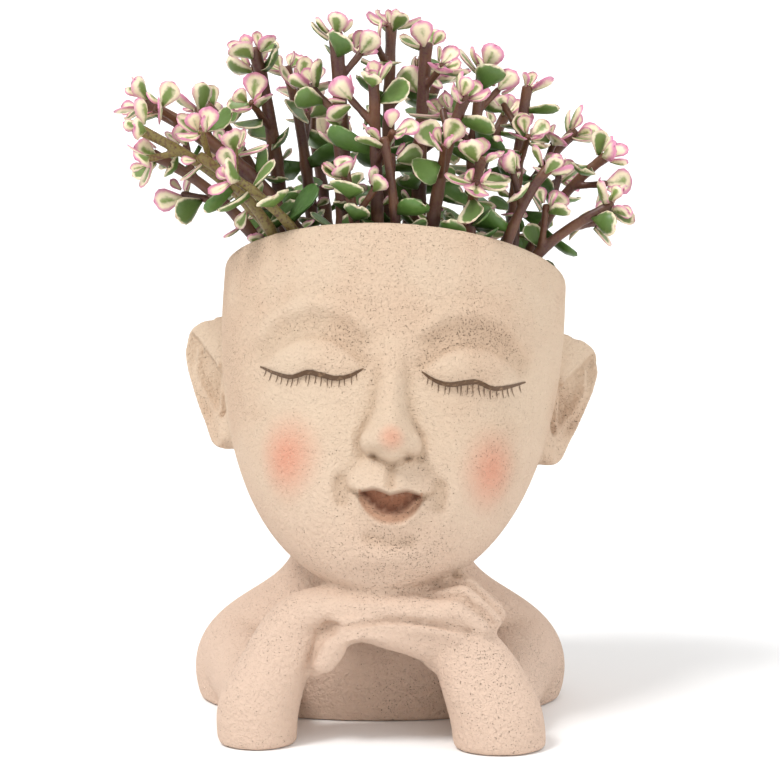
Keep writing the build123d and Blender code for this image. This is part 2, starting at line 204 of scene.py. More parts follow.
# Sandy cast stone, airbrushed cheeks and nose, with brown shade painted into its hollows and a painted shadow low in
# the mouth
castLook = {
    "pale": srgb(213, 190, 166), "warm": srgb(209, 181, 156), "shadeBrown": srgb(168, 136, 106),
    "pit": srgb(100, 80, 58), "blush": srgb(216, 130, 102), "mouth": srgb(148, 100, 76), "lip": srgb(180, 134, 106),
    "mouthShadow": srgb(92, 54, 38), "rosy": srgb(215, 188, 168), "rosyFrom": 0.13, "rosyTo": 0.03,
    "patchScale": 22.0, "sandScale": 1500.0, "pitScale": 1900.0, "crumbScale": 620.0,
    "cheekRadius": 21.0, "noseRadius": 7.5,
}
cheekSpots = ((-38.8, -61.5, -33.0), (44.0, -58.5, -34.5))
noseTipSpot = (2.6, -87.0, -27.5)


def airbrush(tree, spot, centre, radius):
    away = addNode(tree, "ShaderNodeVectorMath", {0: spot, 1: tuple(fromHead(centre) * mm)},
                   operation="DISTANCE").outputs["Value"]
    return span(tree, away, radius * mm, 0.0)


def castMaterial():
    material, tree, shader = newMaterial("sandyCast")
    spot = objectSpot(tree)
    patch = grain(tree, spot, castLook["patchScale"], 3.0)
    sand = grain(tree, spot, castLook["sandScale"], 3.0, 0.6)
    pits = grain(tree, spot, castLook["pitScale"], 1.0)
    crumbs = grain(tree, spot, castLook["crumbScale"], 2.0)
    hollowShade = attribute(tree, "hollowShade")
    colour = blendColour(tree, span(tree, patch, 0.35, 0.65), castLook["pale"], castLook["warm"])
    height = addNode(tree, "ShaderNodeSeparateXYZ", {0: spot}).outputs["Z"]
    colour = blendColour(tree, span(tree, height, castLook["rosyFrom"], castLook["rosyTo"]), colour, castLook["rosy"])
    for centre in cheekSpots:
        share = math2(tree, "MULTIPLY", airbrush(tree, spot, centre, castLook["cheekRadius"]), 0.66)
        share = math2(tree, "MULTIPLY", share, span(tree, sand, 0.2, 0.45))
        colour = blendColour(tree, share, colour, castLook["blush"])
    share = math2(tree, "MULTIPLY", airbrush(tree, spot, noseTipSpot, castLook["noseRadius"]), 0.45)
    colour = blendColour(tree, share, colour, castLook["blush"])
    # brown painted shade in the hollows, creases, dimples, eye sockets and lid creases
    colour = blendColour(tree, math2(tree, "MULTIPLY", hollowShade, 0.5), colour, castLook["shadeBrown"])
    colour = blendColour(tree, math2(tree, "MULTIPLY", attribute(tree, "lip"), 0.75), colour, castLook["lip"])
    colour = blendColour(tree, attribute(tree, "mouth"), colour, castLook["mouth"])
    # painted shadow along the bottom of the mouth opening, next to the lower lip
    colour = blendColour(tree, math2(tree, "MULTIPLY", attribute(tree, "mouthShadow"), 0.9), colour, castLook["mouthShadow"])
    # pits gather in the hollows and in loose patches
    gather = math2(tree, "ADD", math2(tree, "MULTIPLY", hollowShade, 0.08), math2(tree, "MULTIPLY", patch, 0.26))
    depth = span(tree, math2(tree, "ADD", pits, gather), 0.79, 0.92)
    colour = blendColour(tree, math2(tree, "MULTIPLY", depth, 0.7), colour, castLook["pit"])
    tree.links.new(colour, shader.inputs["Base Color"])
    shader.inputs["Roughness"].default_value = 0.86
    shader.inputs["Specular IOR Level"].default_value = 0.25
    height = math2(tree, "ADD", math2(tree, "MULTIPLY", sand, 0.45), math2(tree, "MULTIPLY", crumbs, 0.8))
    height = math2(tree, "SUBTRACT", height, math2(tree, "MULTIPLY", depth, 0.9))
    bumpOn(tree, shader, height, 1.0, 1.5)
    return material


paintLook = {"line": srgb(94, 70, 50), "worn": srgb(140, 112, 84), "wearScale": 700.0}


def paintMaterial():
    material, tree, shader = newMaterial("browPaint")
    wear = span(tree, grain(tree, objectSpot(tree), paintLook["wearScale"], 3.0), 0.5, 0.75)
    tree.links.new(blendColour(tree, wear, paintLook["line"], paintLook["worn"]), shader.inputs["Base Color"])
    shader.inputs["Roughness"].default_value = 0.7
    return material


leafLook = {"green": srgb(92, 126, 58), "fresh": srgb(158, 172, 98), "deep": srgb(58, 94, 40), "cream": srgb(238, 224, 192),
            "pink": srgb(212, 118, 166), "streakScale": 700.0, "blotchScale": 130.0}


def leafMaterial():
    material, tree, shader = newMaterial("variegatedLeaf")
    spot = objectSpot(tree)
    streak = grain(tree, spot, leafLook["streakScale"], 2.0)
    margin, young, tone = (attribute(tree, name) for name in ("margin", "young", "tone"))
    body = blendColour(tree, math2(tree, "MULTIPLY_ADD", streak, 0.6), leafLook["deep"], leafLook["green"])
    share = body.node.inputs[0].links[0].from_node
    tree.links.new(tone, share.inputs[2])
    # young leaves carry a wide cream margin and a pink rim
    blotch = math2(tree, "SUBTRACT", grain(tree, spot, leafLook["blotchScale"], 2.0), 0.5)
    edge = math2(tree, "ADD", margin, math2(tree, "MULTIPLY", young, 0.95))
    edge = math2(tree, "ADD", edge, math2(tree, "MULTIPLY", math2(tree, "SUBTRACT", streak, 0.5), 0.25))
    edge = math2(tree, "ADD", edge, math2(tree, "MULTIPLY", blotch, 0.9))
    body = blendColour(tree, math2(tree, "MULTIPLY", young, 0.55), body, leafLook["fresh"])
    colour = blendColour(tree, span(tree, edge, 0.92, 1.25), body, leafLook["cream"])
    colour = blendColour(tree, math2(tree, "MULTIPLY", span(tree, edge, 1.35, 1.9), 0.85), colour, leafLook["pink"])
    tree.links.new(colour, shader.inputs["Base Color"])
    shader.inputs["Roughness"].default_value = 0.42
    shader.inputs["Subsurface Weight"].default_value = 0.12
    shader.inputs["Subsurface Radius"].default_value = (0.4 * mm, 0.7 * mm, 0.3 * mm)
    bumpOn(tree, shader, streak, 0.25, 0.2)
    return material


stemLook = {"plum": srgb(74, 26, 36), "bark": srgb(100, 54, 42), "olive": srgb(136, 124, 62),
            "bandScale": 55.0, "fleckScale": 900.0}


def stemMaterial():
    material, tree, shader = newMaterial("juicyStem")
    spot = objectSpot(tree)
    band = grain(tree, spot, stemLook["bandScale"], 2.0)
    fleck = grain(tree, spot, stemLook["fleckScale"], 2.0)
    colour = blendColour(tree, span(tree, band, 0.38, 0.6), stemLook["plum"], stemLook["bark"])
    green = math2(tree, "MULTIPLY", attribute(tree, "olive"), span(tree, fleck, 0.2, 0.6))
    colour = blendColour(tree, green, colour, stemLook["olive"])
    tree.links.new(colour, shader.inputs["Base Color"])
    shader.inputs["Roughness"].default_value = 0.45
    bumpOn(tree, shader, fleck, 0.3, 0.25)
    return material


def mottledMaterial(name, first, second, scale, roughness, bumpHeight):
    material, tree, shader = newMaterial(name)
    spot = objectSpot(tree)
    mottle = grain(tree, spot, scale, 4.0, 0.6)
    tree.links.new(blendColour(tree, span(tree, mottle, 0.35, 0.65), first, second), shader.inputs["Base Color"])
    shader.inputs["Roughness"].default_value = roughness
    bumpOn(tree, shader, mottle, 0.6, bumpHeight)
    return material


# The head's plain egg, as half width and reaches at a level along its axis
headForm = {"halfWidth": 69.0, "face": 73.0, "nape": 72.0, "browSlope": 5.0, "crownSlope": 4.0, "widest": 40.0,
            "napeLevel": 20.0, "rim": 58.0, "jaw": 82.0, "chin": 58.0, "mouthShadow": 44.0}


def eggHalf(level):
    h = headForm
    belowWidest = np.clip(h["widest"] - level, 0, None) / (h["widest"] + h["jaw"])
    return h["halfWidth"] * np.sqrt(np.clip(1 - belowWidest ** 2.2, 0.01, 1))


def eggFront(x, level):
    h = headForm
    belowNape = np.clip(h["napeLevel"] - level, 0, None) / (h["napeLevel"] + h["jaw"])
    drop = np.clip(-level, 0, h["jaw"]) / h["jaw"]
    rise = np.clip(level, 0, h["rim"]) / h["rim"]
    front = h["face"] - h["browSlope"] * rise ** 2 - (h["face"] - h["chin"]) * drop ** 6
    back = h["nape"] - h["crownSlope"] * rise ** 2 - (h["nape"] + h["mouthShadow"]) * belowNape ** 3
    return (back - front) / 2 - (front + back) / 2 * np.sqrt(np.clip(1 - (x / eggHalf(level)) ** 2, 0, 1))


def ease(value, low, high):
    share = np.clip((value - low) / (high - low), 0, 1)
    return share * share * (3 - 2 * share)


def hump(x, level, middle, reach):
    return np.exp(-((x - middle[0]) / reach[0]) ** 2 - ((level - middle[1]) / reach[1]) ** 2)


def stroke(x, level, route, radius):
    nearest = np.full(len(x), np.inf)
    for (x0, level0), (x1, level1) in zip(route, route[1:]):
        dx, dl = x1 - x0, level1 - level0
        share = np.clip(((x - x0) * dx + (level - level0) * dl) / (dx * dx + dl * dl), 0, 1)
        nearest = np.minimum(nearest, (x - x0 - share * dx) ** 2 + (level - level0 - share * dl) ** 2)
    return np.exp(-nearest / radius ** 2)


def curve(x, route):
    # smooth line through a route, level beyond its ends
    places, values = np.array(route, float).T
    slopes = np.gradient(values, places)
    x = np.clip(x, places[0], places[-1])
    i = np.clip(np.searchsorted(places, x) - 1, 0, len(places) - 2)
    gap = places[i + 1] - places[i]
    t = (x - places[i]) / gap
    return ((1 + 2 * t) * (1 - t) ** 2 * values[i] + t * (1 - t) ** 2 * gap * slopes[i]
            + t * t * (3 - 2 * t) * values[i + 1] + t * t * (t - 1) * gap * slopes[i + 1])


# The face stands a little to one side of the head's axis: level and shift of its midline
midline = ((-60.0, 3.3), (-45.0, 3.0), (-30.0, 2.4), (-12.0, 1.6), (0.0, 1.5))
# Soft swellings and hollows: middle across and up, reach across and up, height; both sides
faceHumps = {
    "cheek": ((37.0, -31.0), (20.0, 17.0), 2.8),
    "browBone": ((32.0, 22.0), (20.0, 7.0), 0.8),
    "underEye": ((31.0, -8.0), (16.0, 4.0), 0.6),
    "jowl": ((26.0, -50.0), (9.0, 10.0), 1.5),
}
middleHumps = {
    "chin": ((0.0, -72.0), (15.0, 8.0), 2.4),
    "browMiddle": ((0.0, 10.0), (8.0, 8.0), 0.6),
}
# Strokes of a modelling tool: route on one side, radius, height; and how much painted shade some of them get
strokeShade = {"dimple": 0.6, "mouthCorner": 0.8, "socket": 0.45, "lidCrease": 0.35}
faceStrokes = {
    "brow": (((53.0, 15.0), (44.0, 23.5), (32.0, 26.5), (19.5, 23.5), (11.0, 16.0)), 3.6, 1.7),
    "socket": (((49.0, 10.0), (41.0, 17.0), (31.0, 19.0), (20.5, 16.5), (13.5, 10.5)), 3.8, -1.7),
    "lidCrease": (((49.5, 6.5), (44.5, 11.0), (37.5, 14.0), (30.5, 15.0), (22.5, 13.6), (15.5, 9.2), (11.0, 3.6)),
                  2.4, -1.8),
    "wingCrease": (((8.2, -20.8), (11.4, -24.5), (12.4, -28.5), (11.2, -32.0)), 1.6, -1.2),
    "muzzleFold": (((11.6, -32.5), (15.0, -37.0), (18.0, -41.0)), 2.0, -0.5),
    "dimple": (((18.6, -42.5), (18.8, -45.5), (18.0, -49.0)), 2.5, -3.2),
    "mouthCorner": (((12.8, -46.6), (15.4, -45.6), (17.4, -43.6)), 1.0, -1.7),
    "philtrumRidge": (((2.7, -37.5), (3.4, -44.5)), 1.5, 0.5),
}
middleStrokes = {
    "philtrum": (((0.0, -36.5), (0.0, -44.0)), 1.8, -1.7),
    "chinCrease": (((-7.5, -63.2), (0.0, -64.8), (7.5, -63.6)), 2.6, -1.7),
}
noseRidge = {"height": ((-30.0, 11.0), (-26.0, 13.0), (-20.0, 11.6), (-14.0, 9.4), (-8.0, 7.2), (0.0, 4.8), (8.0, 2.6),
                        (17.0, 0.8)),
             "half": ((-30.0, 11.2), (-27.0, 11.3), (-24.0, 10.8), (-20.0, 9.2), (-14.0, 8.0), (-8.0, 7.6), (17.0, 9.0)),
             "power": ((-28.0, 0.75), (-22.0, 0.9), (-14.0, 1.5), (0.0, 2.0)), "sink": 0.8}
# Balls of clay on the nose: middle, reach, height of their foot, height above it, how softly they are joined
noseBalls = {
    "tip": ((0.0, -27.6), (8.2, 7.0), 4.0, 10.4, 4.0),
    "wing": ((7.1, -27.6), (4.5, 4.9), 0.8, 8.4, 2.6),
    "columella": ((0.0, -31.4), (3.2, 3.8), 3.6, 7.0, 2.0),
}
nostril = {"middle": (5.4, -32.3), "reach": (2.4, 1.2), "depth": 3.4}
eyeForm = {"line": ((11.0, 0.6), (15.0, -1.9), (21.0, -3.4), (27.0, -2.0), (32.0, -0.8), (38.0, -2.2), (44.0, -0.3),
                    (51.0, 3.6)),
           "crease": ((11.0, 2.2), (16.0, 7.4), (23.0, 11.4), (31.0, 13.0), (39.0, 12.0), (46.0, 8.8), (51.2, 4.6)),
           "middle": 31.0, "half": 21.0, "height": 4.9}
muzzle = {"edge": ((-46.0, 17.4), (-44.0, 17.4), (-41.0, 16.6), (-37.0, 14.0), (-32.0, 10.6), (-28.0, 8.0)),
          "rise": ((-46.0, 5.0), (-43.0, 4.7), (-39.0, 3.8), (-35.0, 2.7), (-31.0, 1.6), (-27.0, 0.4), (-25.0, 0.0)),
          "power": ((-46.0, 0.55), (-42.0, 0.62), (-38.0, 0.85), (-34.0, 1.2))}
mouthForm = {"upper": ((0.0, -46.9), (2.8, -46.0), (6.0, -45.2), (9.5, -45.8), (12.5, -46.5), (14.5, -46.0), (16.8, -44.2)),
             "lower": ((0.0, -53.8), (3.4, -53.2), (6.2, -51.2), (8.8, -48.7), (11.4, -46.7)),
             "outer": ((0.0, -59.5), (3.4, -59.1), (7.0, -57.4), (9.9, -54.4), (11.9, -50.6), (13.2, -47.6), (14.2, -46.2)),
             "half": 11.4, "outerHalf": 13.8, "depth": 7.0, "scoop": -2.4, "edge": 2.2, "apron": 1.3, "apronReach": 4.5}


def besideMidline(x, level):
    return x - curve(level, midline)


def dome(x, level, middle, reach, foot, height):
    inside = 1 - ((x - middle[0]) / reach[0]) ** 2 - ((level - middle[1]) / reach[1]) ** 2
    return foot + height * np.sign(inside) * np.sqrt(np.abs(inside))


def joinUp(first, second, soft):
    near = np.clip(soft - np.abs(first - second), 0, None)
    return np.maximum(first, second) + near ** 2 / (4 * soft)


def mouthOpening(x, level):
    side = np.abs(x)
    inside = ease(level, curve(side, mouthForm["lower"]) - 0.5, curve(side, mouthForm["lower"]) + 0.7)
    inside = inside * ease(-level, -curve(side, mouthForm["upper"]) - 0.2, -curve(side, mouthForm["upper"]) + 0.5)
    return inside * (side < mouthForm["half"])


def noseHeight(x, level):
    across = np.clip(1 - (x / curve(level, noseRidge["half"])) ** 2, 0, 1) ** curve(level, noseRidge["power"])
    height = curve(level, noseRidge["height"]) * across * ease(level, -32.5, -28.5) - noseRidge["sink"]
    for middle, reach, foot, rise, soft in noseBalls.values():
        height = joinUp(height, dome(np.abs(x), level, middle, reach, foot, rise), soft)
    return height


def lidHeight(side, level):
    # closed lid: a bulge that ends in a ledge along the lashes
    e = eyeForm
    line, crease = curve(side, e["line"]), curve(side, e["crease"])
    up = (level - line) / np.clip(crease - line, 0.8, None)
    almond = np.clip(1 - ((side - e["middle"]) / e["half"]) ** 2, 0, 1)
    bulge = e["height"] * almond * np.sin(np.pi * np.clip(0.16 + 0.84 * up, 0, 1)) ** 0.9
    return bulge * ease(level, line - 0.9, line + 0.5)


def lipHeight(side, level):
    # upper lip: the edge of the muzzle; lower lip: a scoop up to a crisp edge, then an apron towards the chin
    m = mouthForm
    upper, outer = curve(side, m["upper"]), curve(side, m["outer"])
    swell = np.clip(1 - (side / curve(level, muzzle["edge"])) ** 2, 0, 1) ** curve(level, muzzle["power"])
    swell = swell * curve(level, muzzle["rise"])
    height = swell * ease(level, upper - 0.5, upper + 0.4)
    inner = np.where(side < m["half"], curve(side, m["lower"]), upper)
    across = np.clip((inner - level) / np.clip(inner - outer, 0.8, None), 0, 1)
    scoop = m["scoop"] + (m["edge"] - m["scoop"]) * ease(across, 0.0, 1.0)
    apron = m["apron"] * np.exp(-np.clip(outer - level, 0, None) / m["apronReach"])
    lower = np.where(level > outer, scoop, apron) * (level < inner)
    return height + lower * ease(m["outerHalf"] + 0.6 - side, 0, 2.4)


def faceHeight(headX, level):
    x = besideMidline(headX, level)
    side = np.abs(x)
    height = np.zeros(len(x))
    for middle, reach, amount in faceHumps.values():
        height += amount * hump(side, level, middle, reach)
    for middle, reach, amount in middleHumps.values():
        height += amount * hump(x, level, middle, reach)
    for route, radius, amount in faceStrokes.values():
        height += amount * stroke(side, level, route, radius)
    for route, radius, amount in middleStrokes.values():
        height += amount * stroke(x, level, route, radius)
    height += lidHeight(side, level) + lipHeight(side, level) - mouthForm["depth"] * mouthOpening(x, level)
    height = joinUp(height, noseHeight(x, level), noseRidge["sink"])
    return height - nostril["depth"] * hump(side, level, nostril["middle"], nostril["reach"])


# Ears: a squared top corner, a folded rim, a ridge inside it and a hollow, on a plane that flares backwards
earForm = {"level": 6.5, "setback": 3.0, "sink": 9.0, "flare": 40.0, "top": (16.5, 12.0), "topRadius": 17.0,
           "lobe": (9.0, -19.5), "lobeRadius": 8.0, "corner": 0.68, "cornerSpread": 0.5, "cornerPush": 6.5,
           "band": 4.2, "floor": 1.2, "hollow": -2.8, "lobeHeight": 3.2}
earFold = ((10.9, 5.6), (29.3, 23.6))
earStrokes = {
    "rim": (((33.0, 22.5), (32.0, 16.0), (28.0, 4.0), (22.3, -8.0), (17.5, -18.0)), 2.6, 3.0),
    "ridge": (((25.0, 14.5), (24.8, 6.2), (21.0, -2.3), (16.0, -9.0), (12.0, -14.0)), 1.7, 2.4),
}
earTragus = (((10.0, 5.5), (11.6, -2.0), (8.5, -12.5)), 2.6, 3.0)


def earPress(mesh, pushCorner):
    co, normals = pointsOf(mesh), normalsOf(mesh)
    spot = toHead(co)
    turned = normals @ headAxes
    e = earForm
    flare = math.radians(e["flare"])
    halfWidth = eggHalf(e["level"])
    for side in (-1, 1):
        root = np.array((side * (halfWidth - e["sink"]), e["setback"], e["level"]))
        out = np.array((side * math.cos(flare), math.sin(flare), 0.0))
        facing = np.array((side * math.sin(flare), -math.cos(flare), 0.0))
        u, w, v = (spot - root) @ out, (spot - root) @ facing, spot[:, 2] - e["level"]
        near = (u > 9) & (u < 38) & (np.abs(v) < 33) & (np.abs(w) < 8)
        if pushCorner:
            du, dv = u - e["top"][0], v - e["top"][1]
            angle, reach = np.arctan2(dv, du), np.hypot(du, dv)
            push = e["cornerPush"] * np.exp(-((angle - e["corner"]) / e["cornerSpread"]) ** 2)
            push = push * np.clip(reach / e["topRadius"], 0, 1) ** 2 * near
            away = np.clip(reach, 0.1, None)
            spot += (push * du / away)[:, None] * out + (push * dv / away)[:, None] * np.array((0.0, 0.0, 1.0))
            u, v = (spot - root) @ out, spot[:, 2] - e["level"]
        within = np.full(len(u), -9.0)
        for share in np.linspace(0, 1, 12):
            middle = np.array(e["top"]) * (1 - share) + np.array(e["lobe"]) * share
            radius = e["topRadius"] * (1 - share) + e["lobeRadius"] * share
            within = np.maximum(within, radius - np.hypot(u - middle[0], v - middle[1]))
        (u0, v0), (u1, v1) = earFold
        below = ((u - u0) * (v1 - v0) - (v - v0) * (u1 - u0)) / math.hypot(u1 - u0, v1 - v0)
        below = ease(below, -0.4, 1.6)
        height = e["band"] + (e["floor"] - e["band"]) * below
        for route, radius, amount in earStrokes.values():
            height += amount * below * stroke(u, v, route, radius)
        height += e["hollow"] * below * hump(u, v, (15.0, -1.5), (5.0, 8.5))
        lobe = ease(-v, 10, 17)
        height += (e["lobeHeight"] - height) * lobe
        height += earTragus[2] * stroke(u, v, earTragus[0], earTragus[1])
        share = near * (turned @ facing > 0.15) * (w > -3.5) * ease(within, 0.4, 2.4) * ease(u, 9.0, 11.0)
        spot += (share * (height - w))[:, None] * facing
    movePoints(mesh, headCentre + spot @ headAxes.T)


# The rim dips a little towards the ears
rimDip = {"depth": 3.8, "from": 20.0, "to": 58.0, "half": 68.0, "lift": 0.8}


def rimPress(mesh):
    spot = toHead(pointsOf(mesh))
    share = ease(spot[:, 2], rimDip["from"], rimDip["to"])
    across = np.clip(np.abs(spot[:, 0]) / rimDip["half"], 0, 1)
    spot[:, 2] -= share * rimDip["depth"] * across ** 2.5
    spot[:, 2] += share * rimDip["lift"] * ease(-spot[:, 1], 20, 60) * (1 - across)
    movePoints(mesh, headCentre + spot @ headAxes.T)


# The casting: the solid's own shape, softened and worked like clay
castForm = {"firstVoxel": 1.2, "voxel": 0.85, "softRounds": 5, "softAmount": 0.5, "deepest": 0.12, "trianglesKept": 190000,
            "grainHeight": 0.1, "grainSize": 2.2}


def facePress(mesh):
    co, normals = pointsOf(mesh), normalsOf(mesh)
    spot = toHead(co)
    x, y, level = spot.T
    front = eggFront(x, level)
    facing = (normals @ headAxes)[:, 1] < 0.35
    skin = facing & (y < front + 9) & (y > front - 24) & (y < -8)
    share = ease(level, -77, -69) * ease(-level, -50, -40) * ease(-np.abs(x), -61, -55) * skin
    share = share * ease(1 - (x / eggHalf(level)) ** 2, 0.06, 0.3)
    spot[:, 1] += share * (front - faceHeight(x, level) - y)
    movePoints(mesh, headCentre + spot @ headAxes.T)


# Grooves between the fingers, as routes in the shared frame, and the line where the upper hand lies on the lower
fingerGrooves = (
    ((15.0, -77.5, 55.5), (29.0, -80.5, 57.5), (40.0, -80.0, 50.0), (42.5, -79.5, 46.0)),
    ((20.0, -71.0, 58.5), (32.0, -72.8, 61.0), (44.0, -72.0, 52.0), (46.5, -71.5, 47.5)),
    ((20.0, -64.5, 58.5), (32.5, -65.0, 62.0), (45.0, -64.0, 52.5), (47.5, -63.5, 48.5)),
)
handLine = ((-20.3, 45.6), (-9.7, 46.8), (2.9, 48.6), (12.1, 48.2), (22.4, 46.8), (33.5, 44.4))
grooveForm = {"radius": 1.5, "depth": 1.6, "lineRadius": 0.9, "lineDepth": 1.5, "fillTo": (-86.8, -85.2), "fillFrom": -14.0,
              "fillEnd": 30.0}
# Inner sides of the forearms: side, shift towards the middle, height and reach up and down
armLean = ((1, 4.6, 28.0, 14.0), (-1, 3.4, 38.0, 11.0))
# How far the underside of the lower hand is moved up, along the hand
underHand = ((-16.0, 0.0), (-9.0, 3.6), (5.0, 0.2), (18.0, -2.4), (26.0, 0.0))


def armPress(mesh):
    co, normals = pointsOf(mesh), normalsOf(mesh)
    for side, shift, height, reach in armLean:
        inner = ease(-side * normals[:, 0], 0.1, 0.7) * ease(side * co[:, 0], 6, 12) * ease(-co[:, 1], 44, 54)
        co[:, 0] -= side * shift * inner * np.exp(-((co[:, 2] - height) / reach) ** 2)
    under = ease(-normals[:, 2], 0.2, 0.7) * ease(-co[:, 1], 58, 66) * ease(co[:, 2], 26, 30) * ease(-co[:, 2], -46, -42)
    co[:, 2] += under * curve(co[:, 0], underHand)
    movePoints(mesh, co)


def handFill(mesh):
    # the hands lie close: the hollow between them is filled, and a thin line is cut later
    co = pointsOf(mesh)
    x, y, z = co.T
    line = np.interp(x, [spot[0] for spot in handLine], [spot[1] for spot in handLine])
    share = ease(z, line - 6, line - 4) * ease(-z, -line - 4, -line - 2)
    share = share * ease(x, grooveForm["fillFrom"] - 4, grooveForm["fillFrom"]) * (y < -72)
    share = share * ease(-x, -grooveForm["fillEnd"] - 4, -grooveForm["fillEnd"])
    co[:, 1] += share * np.minimum(np.where(z < line, *grooveForm["fillTo"]) - y, 0)
    movePoints(mesh, co)


def handPress(mesh):
    co, normals = pointsOf(mesh), normalsOf(mesh)
    depth = np.zeros(len(co))
    for route in fingerGrooves:
        nearest = np.full(len(co), np.inf)
        for start, end in zip(np.array(route), np.array(route)[1:]):
            along = end - start
            share = np.clip((co - start) @ along / (along @ along), 0, 1)
            nearest = np.minimum(nearest, ((co - start - share[:, None] * along) ** 2).sum(1))
        depth = np.maximum(depth, grooveForm["depth"] * np.exp(-nearest / grooveForm["radius"] ** 2))
    front = (co[:, 1] < -74) & (normals[:, 1] < 0.2) & (co[:, 2] < 56)
    line = grooveForm["lineDepth"] * stroke(co[:, 0], co[:, 2], handLine, grooveForm["lineRadius"]) * front
    movePoints(mesh, co - normals * np.maximum(depth, line)[:, None])


def castPiece():
    mesh = remeshed(cadCopy("planter_body"), castForm["firstVoxel"])
    co = pointsOf(mesh)
    hands = ease(-co[:, 1], 46, 56) * ease(-co[:, 2], -70, -60)
    co = relax(co, edgesOf(mesh), castForm["softRounds"], castForm["softAmount"] * (1 - 0.6 * hands))
    movePoints(mesh, co)
    rimPress(mesh)
    armPress(mesh)
    handFill(mesh)
    co = pointsOf(mesh)
    forearms = ease(-co[:, 1], 56, 64) * ease(-co[:, 2], -51, -47)
    movePoints(mesh, relax(co, edgesOf(mesh), 5, 0.5 * forearms))
    earPress(mesh, True)
    facePress(mesh)
    mesh = withModifier(mesh, "REMESH", {"mode": "VOXEL", "voxel_size": castForm["voxel"] * mm})
    edges = edgesOf(mesh)
    movePoints(mesh, relax(pointsOf(mesh), edges, 2, 0.4))
    earPress(mesh, False)
    handPress(mesh)
    facePress(mesh)
    co = relax(pointsOf(mesh), edges, 1, 0.4)
    movePoints(mesh, co)
    normals = normalsOf(mesh)
    # how deep each point lies in a hollow; the brown colour drawn from it is painted shade, weaker on the hands and at
    # the sides
    hollow = np.zeros(len(co))
    for rounds in (10, 40):
        soft = relax(co, edges, rounds, 0.5)
        hollow = np.maximum(hollow, ((soft - co) * normals).sum(1) / math.sqrt(rounds))
    hollow = relax(np.clip(hollow / castForm["deepest"], 0, 1)[:, None].repeat(3, 1), edges, 10, 0.5)[:, 0]
    x, y, level = toHead(co).T
    near = (y > eggFront(x, level) - 8) * (y < eggFront(x, level) + 9)
    hands = ease(-co[:, 1], 60, 70) * ease(-co[:, 2], -66, -58)
    hollow = hollow * (1 - 0.6 * hands) * (1 - 0.55 * ease(np.abs(x), 60, 66))
    x = besideMidline(x, level)
    side = np.abs(x)
    # painted shade also laid along the dimples, mouth corners, eye sockets and lid creases
    for name, amount in strokeShade.items():
        hollow = np.maximum(hollow, amount * near * stroke(side, level, *faceStrokes[name][:2]))
    addAttribute(mesh, "hollowShade", hollow)
    lip = ease(level, curve(side, mouthForm["outer"]) + 0.6, curve(side, mouthForm["outer"]) + 3.5)
    lip = lip * (level < curve(side, mouthForm["lower"]) + 1) * (side < mouthForm["outerHalf"] - 2)
    addAttribute(mesh, "mouth", mouthOpening(x, level) * near)
    addAttribute(mesh, "lip", lip * near)
    # mask of the painted shadow at the bottom of the mouth opening
    floor = curve(side, mouthForm["lower"])
    addAttribute(mesh, "mouthShadow", mouthOpening(x, level) * near * ease(-level, -floor - 4.4, -floor - 1.4))
    share = castForm["trianglesKept"] / (2 * len(mesh.polygons))
    print("casting before thinning:", len(mesh.polygons), "faces")
    if share < 1:
        mesh = withModifier(mesh, "DECIMATE", {"ratio": share})
    return mesh


castMesh = castPiece()
casting = addPiece("planterBody", castMesh, castMaterial(), ["planter_body"])
castTree = BVHTree.FromPolygons([v.co for v in castMesh.vertices], [p.vertices for p in castMesh.polygons])
print("casting:", len(castMesh.polygons), "faces")


# Painted lid lines and lashes, laid on the face
eyePaint = {"steps": 60, "columns": 6, "thick": 1.55, "thin": 0.55, "proud": 0.22, "lashes": 17, "lashWidth": 0.36, "lashLength": 3.3,
            "firstLash": 0.06, "lastLash": 0.93, "seed": 11}


def onFace(x, level):
    start = Vector(fromHead((x, -130.0, level)) * mm)
    spot, normal, _, _ = castTree.ray_cast(start, Vector(headAxes[:, 1]))
    return spot, normal


def ribbon(bm, route, widths):
    # a strip across a route of (x, level) places, a hair proud of the skin
    rows = []
    for i, (x, level) in enumerate(route):
        x0, level0 = route[max(i - 1, 0)]
        x1, level1 = route[min(i + 1, len(route) - 1)]
        length = math.hypot(x1 - x0, level1 - level0)
        acrossX, acrossLevel = -(level1 - level0) / length, (x1 - x0) / length
        row = []
        for side in np.linspace(-0.5, 0.5, eyePaint["columns"]):
            spot, normal = onFace(x + side * widths[i] * acrossX, level + side * widths[i] * acrossLevel)
            row.append(bm.verts.new(spot + normal * eyePaint["proud"] * mm))
        rows.append(row)
    for low, high in zip(rows, rows[1:]):
        for k in range(eyePaint["columns"] - 1):
            bm.faces.new((low[k], low[k + 1], high[k + 1], high[k]))


